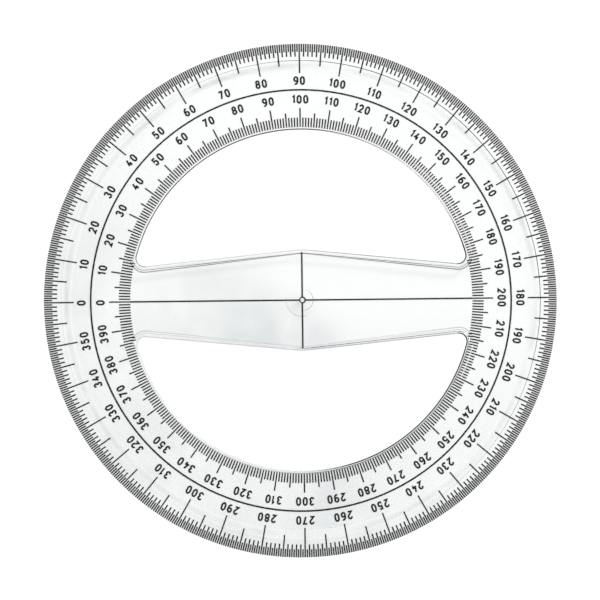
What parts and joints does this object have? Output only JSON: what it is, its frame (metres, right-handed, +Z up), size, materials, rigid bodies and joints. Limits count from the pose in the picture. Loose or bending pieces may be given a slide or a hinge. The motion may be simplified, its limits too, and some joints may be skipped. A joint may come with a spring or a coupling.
{
  "type": "full circle protractor",
  "caption": "Clear flat ring with a bevelled rim, two windows, a centre bar with a pin hole, and black lines for degrees outside and gon inside.",
  "frame": {"origin": "centre of the circle, on the underside that lies on the paper", "axes": "+Z up towards the reader, -X through the zero mark, +Y through the 90 degree mark, +X through the 180 degree mark"},
  "size_m": [0.15, 0.15, 0.002],
  "materials": {
    "clear_acrylic": "clear moulded acrylic, polished",
    "black_fill": "black colour filled in stamped lines"
  },
  "bodies": {
    "root": {"clear_plate": "clear_acrylic", "half_degree_lines": "black_fill", "degree_lines": "black_fill", "five_degree_lines": "black_fill", "ten_degree_lines": "black_fill", "gon_lines": "black_fill", "five_gon_lines": "black_fill", "ten_gon_lines": "black_fill", "dividing_circle": "black_fill", "zero_line": "black_fill", "right_angle_line": "black_fill"}
  },
  "joints": []
}
